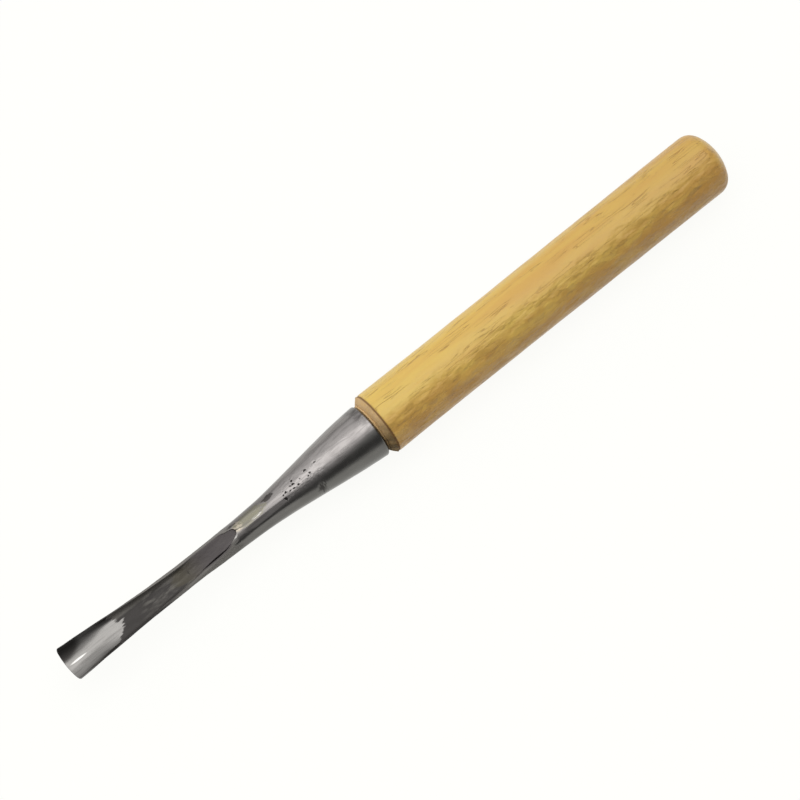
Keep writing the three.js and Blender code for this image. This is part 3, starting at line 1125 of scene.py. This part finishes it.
    def land_point(self, place: float, index: int) -> SkinPoint:
        """Point on the rounded land between a lip and the flute, or on a rolled flap.

        Args:
            place: Place along the tool.
            index: Number of the point across.

        Returns:
            The point.
        """
        left = index < self.edge_index
        inner = self.top_point(place, self.edge_index if left else self.last_index)
        half = self.half_at(place)
        reach = math.acos(min(max(abs(inner.across) / half, -1), 1))
        if (inner.across < 0) == left:
            reach = math.pi - reach
        angle = reach * (index if left else 2 * self.half_count - index) / self.edge_index
        across = half * math.cos(angle) * (1 if left else -1)
        return SkinPoint(across, self.lip_height.at(place) + self.crown_at(place) * math.sin(angle))

    def section(self, place: float) -> list[SkinPoint]:
        """Closed section of the skin.

        Args:
            place: Place along the tool.

        Returns:
            Its points, from the left lip over the top to the right one, and back below.
        """
        indices = range(2 * self.half_count + 1)
        below = [self.outer_point(place, 1 - index / self.half_count) for index in indices]
        above = [self.top_point(place, index) for index in indices] if place > 0 else below
        return [below[0], *above[1:-1], *below[:0:-1]]

    def places(self) -> list[float]:
        """Places of the sections, closer together where the shape is finer."""
        tip = self.arch_tip
        return [
            *self.edge_places,
            *steps(1, self.throat_start, 0.36),
            *steps(self.throat_start, self.arch_sink_start, 0.26),
            *steps(self.arch_sink_start, tip - 0.6, 0.16),
            *steps(tip - 0.6, tip, 0.08),
            tip - 0.01, tip + 0.03, tip + 0.1,
            *steps(tip + 0.25, self.pitted[0], 0.3),
            *steps(*self.pitted, 0.13),
            *steps(self.pitted[1], self.rim_place, 0.4),
        ]

    def rings(self) -> list[list[tuple[Vector, SkinPoint]]]:
        """All rings of the skin, from the cutting edge to the end of the bore."""
        rows = []
        for place in self.places():
            nose = self.nose * (1 - ease(0, self.nose_reach, place))
            corner = self.corner_round * (1 - ease(0, self.corner_reach, place))
            turned = Matrix.Rotation(math.radians(self.twist.at(place)), 2)
            pivot = Vector((0, self.lip_height.at(place) - self.twist_depth))
            row = []
            for point in self.section(place):
                aside = abs(point.across) / self.half_width.at(0)
                shift = nose * aside ** 2 + corner * aside ** self.corner_power
                at = turned @ (Vector((point.across, point.up)) - pivot) + pivot
                row.append((Vector((place + shift, at.x + self.sway.at(place), at.y)), point))
            rows.append(row)
        off = self.sway.at(self.rim_place)
        directions = [Vector((0, at.y - off, at.z)).normalized() for at, _ in rows[-1]]
        for place, radius in self.lining():
            skin = SkinPoint(0, 0, 0, float(radius < self.tool.mouth_radius - self.rim_round))
            rows.append([(Vector((place, off, 0)) + direction * radius, skin) for direction in directions])
        return rows

    def lining(self) -> list[Pair]:
        """Places and radii of the rings that round the rim and line the bore."""
        length, mouth = self.tool.steel_length, self.tool.mouth_radius - self.bore.wall
        end = length - self.bore.depth
        shares = [step / self.bore_steps for step in range(self.bore_steps + 1)]
        return [
            *arc(self.rim_place, self.tool.mouth_radius - self.rim_round, self.rim_round, 0, math.pi / 2,
                 self.rim_steps),
            (length, mouth + MOUTH_CHAMFER),
            *((blend(length - MOUTH_CHAMFER, end, share), blend(mouth, self.bore.end_radius, share))
              for share in shares),
            (end - 1, POLE_RADIUS),
        ]

    def flatten(self, at: Vector) -> Vector:
        """Push that brings a point of the round skin down to the facets.

        Args:
            at: The point.

        Returns:
            The push.
        """
        push = Vector()
        for facet in self.facets:
            share = 1 - ((at.x - facet.along) / facet.length) ** 2
            if share <= 0:
                continue
            tilt = math.radians(facet.tilt)
            normal = Vector((0, -math.sin(tilt), math.cos(tilt)))
            flat = math.hypot(self.half_at(at.x) * normal.y, self.crown_at(at.x) * normal.z)
            top = flat + self.lip_height.at(at.x) * normal.z
            height = (at + push - Vector((0, self.sway.at(at.x), 0))).dot(normal)
            push -= normal * max(height - top + facet.depth * share, 0)
        return push

    def displace(self, mesh: bmesh.types.BMesh, flute: Any, hollow: Any, rusted: Any) -> None:
        """Gives the skin the unevenness of hand forging, and its pits and dents.

        Args:
            mesh: The closed skin.
            flute: Layer that is 1 in the flute.
            hollow: Layer that is 1 on covered faces.
            rusted: Layer that tells how dark the rust is.
        """
        marks = [*(Mark.pit(*pit) for pit in self.pits), self.dent, self.nick]
        mesh.normal_update()
        moves = []
        for vertex in mesh.verts:
            at = vertex.co
            rough = blend(self.flute_smooth, 1, ease(*self.flute_rough, at.x)) if vertex[flute] else 1
            rough *= 1 - self.rim_smooth * ease(*self.rim_calm, at.x)
            worn = within(self.worn_stretch, at.x) * (1 - ease(*self.worn_sides, abs(at.y)))
            waves = (
                self.hammered.at(at) + self.scaled.at(at) * within(self.scaled_stretch, at.x)
                + self.worn.at(at) * worn
            )
            push = waves * rough * (ease(*self.edge_calm, at.x) * (1 - vertex[hollow]))
            for mark in marks:
                away = math.hypot((at.x - mark.along) / mark.length, (at.y - mark.across) / mark.reach)
                if away < 2:
                    away += self.mark_edge.at(Vector((at.x, at.y, mark.along)))
                if away < 1 and at.z > 0 and vertex[hollow] < 0.5:
                    push -= mark.depth * (1 - max(away, 0) ** 2) ** 1.5
                    vertex[rusted] = max(vertex[rusted], mark.rust * (1 - away ** 2))
            cut = Vector() if vertex[hollow] or vertex[flute] else self.flatten(at)
            moves.append(vertex.normal * push + cut)
        for vertex, move in zip(mesh.verts, moves):
            vertex.co += move

    def build(self) -> bpy.types.Object:
        """Builds the steel.

        Returns:
            The finished piece, which stands for the CAD blade.
        """
        mesh = bmesh.new()
        flute, hollow, rusted = (
            mesh.verts.layers.float.new(zone.value) for zone in (Zone.FLUTE, Zone.HOLLOW, Zone.PIT)
        )
        rows = self.rings()
        count = len(rows[0])
        ring = list(bmesh.ops.create_circle(mesh, segments=count, radius=1)["verts"])
        first = ring
        for number, row in enumerate(rows):
            if number:
                edges = [mesh.edges.get((ring[i], ring[(i + 1) % count])) for i in range(count)]
                grown = set(bmesh.ops.extrude_edge_only(mesh, edges=edges)["geom"])
                ring = [
                    next(edge.other_vert(vertex) for edge in vertex.link_edges
                         if edge.other_vert(vertex) in grown)
                    for vertex in ring
                ]
            for vertex, (position, point) in zip(ring, row):
                vertex.co = position
                vertex[flute] = point.flute
                vertex[hollow] = point.hollow
        bmesh.ops.remove_doubles(mesh, verts=first, dist=0.0001)
        bmesh.ops.remove_doubles(mesh, verts=ring, dist=POLE_MERGE)
        bmesh.ops.recalc_face_normals(mesh, faces=mesh.faces[:])
        self.displace(mesh, flute, hollow, rusted)
        return finish_piece(mesh, Node.BLADE, Slot.STEEL, self.tool, ForgedSteel().build(self.tool))


@dataclass
class Handle:
    """Handle turned from one piece of wood. Lengths are in millimetres."""

    tool: ToolFrame
    bore: Bore = Bore()
    fit_clearance: float = 0.3
    tenon_end_gap: float = 1.6
    tenon_chamfer: float = 0.8
    collar_gap: float = 0.15
    collar_radius: float = 7.3
    collar_round: float = 0.1
    collar_length: float = 0.3
    neck_start: float = 0.34
    neck_radius: float = 7.05
    shoulder_gap: float = 0.72
    shoulder_face_radius: float = 7.55
    shoulder_round: float = 0.15
    shoulder_radius: float = 9.125
    chamfer_length: float = 1.48
    chamfer_steps: int = 8
    chamfer_power: float = 0.8
    groove_width: float = 0.6
    groove_depth: float = 0.22
    grip: Curve = Curve(((104.5, 9.125), (119.5, 9.03), (142, 9.02), (185, 9.16), (213, 9.24)))
    grip_spacing: float = 1.2
    butt_radius: float = 9.24
    butt_edge_radius: float = 4.3
    crown_radius: float = 14.5
    butt_flat_radius: float = 3
    turned: Waves = Waves((9, 4, 4), 0.05, 2)
    turned_fade: float = 4
    step_slant: float = 0.02
    sides: int = 128
    arc_steps: int = 10

    @property
    def shoulder_place(self) -> float:
        """Place of the shoulder's face."""
        return self.tool.steel_length + self.shoulder_gap

    @property
    def barrel_place(self) -> float:
        """Place where the chamfer ends."""
        return self.shoulder_place + self.chamfer_length

    def tenon_point(self, place: float) -> Pair:
        """Place and radius of the tapered tenon.

        Args:
            place: Place along the tool.

        Returns:
            The place and the radius there.
        """
        mouth = self.tool.mouth_radius - self.bore.wall
        slope = (mouth - self.bore.end_radius) / self.bore.depth
        return place, mouth - self.fit_clearance - slope * (self.tool.steel_length - place)

    def butt(self) -> list[Pair]:
        """Rounded butt: an edge round that runs into a shallow crown."""
        end, edge_radius = self.tool.overall_length, self.butt_edge_radius
        crown_place = end - math.sqrt(self.crown_radius ** 2 - self.butt_flat_radius ** 2)
        edge_out = self.butt_radius - edge_radius
        apart = self.crown_radius - edge_radius
        edge_place = crown_place + math.sqrt(apart ** 2 - edge_out ** 2)
        meeting = math.acos(edge_out / apart)
        flat = math.acos(self.butt_flat_radius / self.crown_radius)
        crown = arc(crown_place, 0, self.crown_radius, meeting, flat, self.arc_steps)
        edge = arc(edge_place, edge_out, edge_radius, 0, meeting, self.arc_steps)
        return [*edge, *crown[1:], (end, POLE_RADIUS)]

    def profile(self) -> list[Quad]:
        """Outline from the tenon's end to the butt, as place, radius, bareness and cut line."""
        start = self.tool.steel_length - self.bore.depth + self.tenon_end_gap
        collar = self.tool.steel_length + self.collar_gap
        shoulder, front = self.shoulder_place, self.barrel_place
        radius, face = self.shoulder_radius, self.shoulder_face_radius
        shares = [step / self.chamfer_steps for step in range(1, self.chamfer_steps)]
        bare = [
            (start, POLE_RADIUS), (start, self.tenon_point(start)[1] - self.tenon_chamfer),
            self.tenon_point(start + self.tenon_chamfer),
            self.tenon_point(collar),
            (collar + self.step_slant, self.collar_radius - self.collar_round),
            (collar + self.collar_round, self.collar_radius),
            (collar + self.collar_length, self.collar_radius),
            (collar + self.neck_start, self.neck_radius),
            (shoulder - self.step_slant, self.neck_radius),
            (shoulder, face - self.shoulder_round),
            (shoulder + 0.1, face),
            *((blend(shoulder + 0.1, front, share), blend(face, radius, share ** self.chamfer_power))
              for share in shares),
        ]
        groove = [
            (front - 0.05, radius), (front + 0.05, radius - 0.05),
            (front + self.groove_width * 0.4, radius - self.groove_depth),
            (front + self.groove_width * 0.6, radius - self.groove_depth),
        ]
        grip, butt = front + self.groove_width, self.butt()
        barrel = [
            (grip - 0.06, radius - 0.12), (grip, radius - 0.03),
            *((place, self.grip.at(place)) for place in steps(grip + 0.15, butt[0][0], self.grip_spacing)),
        ]
        return [
            *((*point, 1.0, 0.0) for point in bare),
            *((*point, 1.0, 1.0) for point in groove),
            *((*point, 0.0, 0.0) for point in barrel + butt),
        ]

    def build(self) -> bpy.types.Object:
        """Builds the handle.

        Returns:
            The finished piece, which stands for the CAD handle.
        """
        mesh = bmesh.new()
        bare = mesh.verts.layers.float.new(Zone.BARE.value)
        cut = mesh.verts.layers.float.new(Zone.CUT.value)
        verts = []
        for place, radius, bareness, line in self.profile():
            vertex = mesh.verts.new((place, 0, radius))
            vertex[bare] = bareness
            vertex[cut] = line
            verts.append(vertex)
        edges = [mesh.edges.new(pair) for pair in zip(verts, verts[1:])]
        bmesh.ops.spin(
            mesh, geom=verts + edges, cent=(0, 0, 0), axis=(1, 0, 0), angle=math.tau,
            steps=self.sides, use_merge=True, use_duplicate=False,
        )
        bmesh.ops.remove_doubles(mesh, verts=mesh.verts[:], dist=0.0005)
        ends = [vertex for vertex in mesh.verts if math.hypot(vertex.co.y, vertex.co.z) < 0.05]
        bmesh.ops.remove_doubles(mesh, verts=ends, dist=POLE_MERGE)
        bmesh.ops.recalc_face_normals(mesh, faces=mesh.faces[:])
        self.displace(mesh)
        return finish_piece(mesh, Node.HANDLE, Slot.WOOD, self.tool, LacqueredWood().build(self.tool))

    def displace(self, mesh: bmesh.types.BMesh) -> None:
        """Gives the lacquered barrel the slight waves of hand turning and dipping.

        Args:
            mesh: The turned handle.
        """
        for vertex in mesh.verts:
            at = vertex.co
            if at.x > self.barrel_place:
                shown = ease(self.barrel_place, self.barrel_place + self.turned_fade, at.x)
                vertex.co += Vector((0, at.y, at.z)).normalized() * self.turned.at(at) * shown


@dataclass
class Studio:
    """Pale floor, soft light and camera. Lengths are in metres and angles in degrees.

    A span is a soft step: where it starts and ends, and how bright the room is before and after.
    """

    tool: ToolFrame
    camera_distance: float = 1.5
    lens_mm: float = 255.6
    sensor_mm: float = 36
    sight: float = 20
    aim_along: float = 0.11327
    aim_aside: float = 0.001229
    pitch: float = 10.5
    roll: float = 14.5
    turn: float = -0.198
    picture_across: float = 0.78298
    picture_up: float = 0.62204
    key_angle: float = 10
    key_distance: float = 1
    key_width: float = 0.66
    key_length: float = 1.8
    key_power: float = 4.45
    floor_size: float = 6
    floor_gap: float = 0.0001
    floor_colour: str = "#fdfdfb"
    floor_glow: float = 0.94
    glow_colour: str = "#fffffc"
    room_side: float = 28
    room_span: Quad = (0.2, 1, 0.15, 1.35)
    horizon_span: Quad = (0.3, 0.02, 0, 0.5)

    def camera(self) -> None:
        """Sets the camera at the photograph's viewing angle."""
        pitch, roll, turn = (math.radians(angle) for angle in (self.pitch, self.roll, self.turn))
        lean = Vector((0, -math.sin(roll), math.cos(roll)))
        aside = Vector((0, -math.cos(roll), -math.sin(roll)))
        length = Vector((math.cos(pitch), 0, 0)) + lean * math.sin(pitch)
        back = (Vector((-math.sin(pitch), 0, 0)) + lean * math.cos(pitch)).normalized()
        along = length * math.cos(turn) - aside * math.sin(turn)
        down = length * math.sin(turn) + aside * math.cos(turn)
        right = (along * self.picture_across + down * self.picture_up).normalized()
        up = (along * self.picture_up - down * self.picture_across).normalized()
        aim = self.tool.origin + Vector((self.aim_along, 0, 0)) - down * self.aim_aside
        data = bpy.data.cameras.new("camera")
        data.lens, data.sensor_width, data.clip_end = self.lens_mm, self.sensor_mm, self.sight
        place = Matrix.Translation(aim + back * self.camera_distance)
        turned = Matrix((right, up, back)).transposed().to_4x4()
        bpy.context.scene.camera = add_object("camera", data, place @ turned)

    def key_light(self) -> None:
        """Hangs the softbox over the tool's left side, its long side along the tool."""
        data = bpy.data.lights.new("key_softbox", "AREA")
        data.shape = "RECTANGLE"
        data.size, data.size_y, data.energy = self.key_width, self.key_length, self.key_power
        lean = Matrix.Rotation(math.radians(-self.key_angle), 4, "X")
        hung = Matrix.Translation(lean @ Vector((0, 0, self.key_distance)))
        add_object("key_softbox", data, hung @ lean @ Matrix.Rotation(math.radians(90), 4, "Z"))

    def floor(self) -> None:
        """Lays the pale floor under the handle."""
        mesh = bmesh.new()
        bmesh.ops.create_grid(mesh, x_segments=1, y_segments=1, size=self.floor_size / 2)
        material = bpy.data.materials.new("white_sweep")
        material.use_nodes = True
        sweep = Shading(material.node_tree)
        ray = sweep.add("ShaderNodeLightPath").outputs
        seen = sweep.most(ray["Is Camera Ray"], ray["Is Glossy Ray"], ray["Is Transmission Ray"])
        lit = sweep.tree.nodes["Principled BSDF"]
        paint = linear(self.floor_colour)
        sweep.join(lit, {"Base Color": paint, "Roughness": 0.9, "Specular IOR Level": 0.1})
        white = sweep.add("ShaderNodeEmission", {"Color": linear(self.glow_colour), "Strength": 1})
        both = sweep.add("ShaderNodeMixShader", {
            0: sweep.times(seen, self.floor_glow), 1: lit.outputs[0], 2: white.outputs[0],
        })
        sweep.join(sweep.tree.nodes["Material Output"], {"Surface": both.outputs[0]})
        floor = add_mesh("floor", mesh, material)
        floor.location.z = min(cad_box[0].z, 0) - self.floor_gap

    def world(self) -> None:
        """Fills the room with soft light, bright on the tool's left and dark on its right."""
        world = bpy.data.worlds.new("studio")
        world.use_nodes = True
        room = Shading(world.node_tree)
        direction = room.add("ShaderNodeNewGeometry").outputs["Position"]
        side = math.radians(self.room_side)
        bright_side = Vector((0, math.sin(side), math.cos(side)))
        facing = room.add("ShaderNodeVectorMath", {0: direction, 1: bright_side}, operation="DOT_PRODUCT")
        height = room.add("ShaderNodeSeparateXYZ", {0: direction}).outputs[2]
        strength = room.most(
            room.step(facing.outputs["Value"], *self.room_span), room.step(height, *self.horizon_span),
        )
        room.join(world.node_tree.nodes["Background"], {"Color": (1, 1, 1, 1), "Strength": strength})
        bpy.context.scene.world = world

    def build(self) -> None:
        """Sets up the whole studio."""
        self.camera()
        self.key_light()
        self.floor()
        self.world()
        bpy.context.scene.view_settings.view_transform = "Standard"


def main() -> None:
    """Builds the tool and its studio."""
    logging.basicConfig(level=logging.INFO, format="%(name)s: %(message)s")
    tool = ToolFrame.read()
    GougeBlade(tool).build()
    Handle(tool).build()
    Studio(tool).build()


if __name__ == "__main__":
    main()
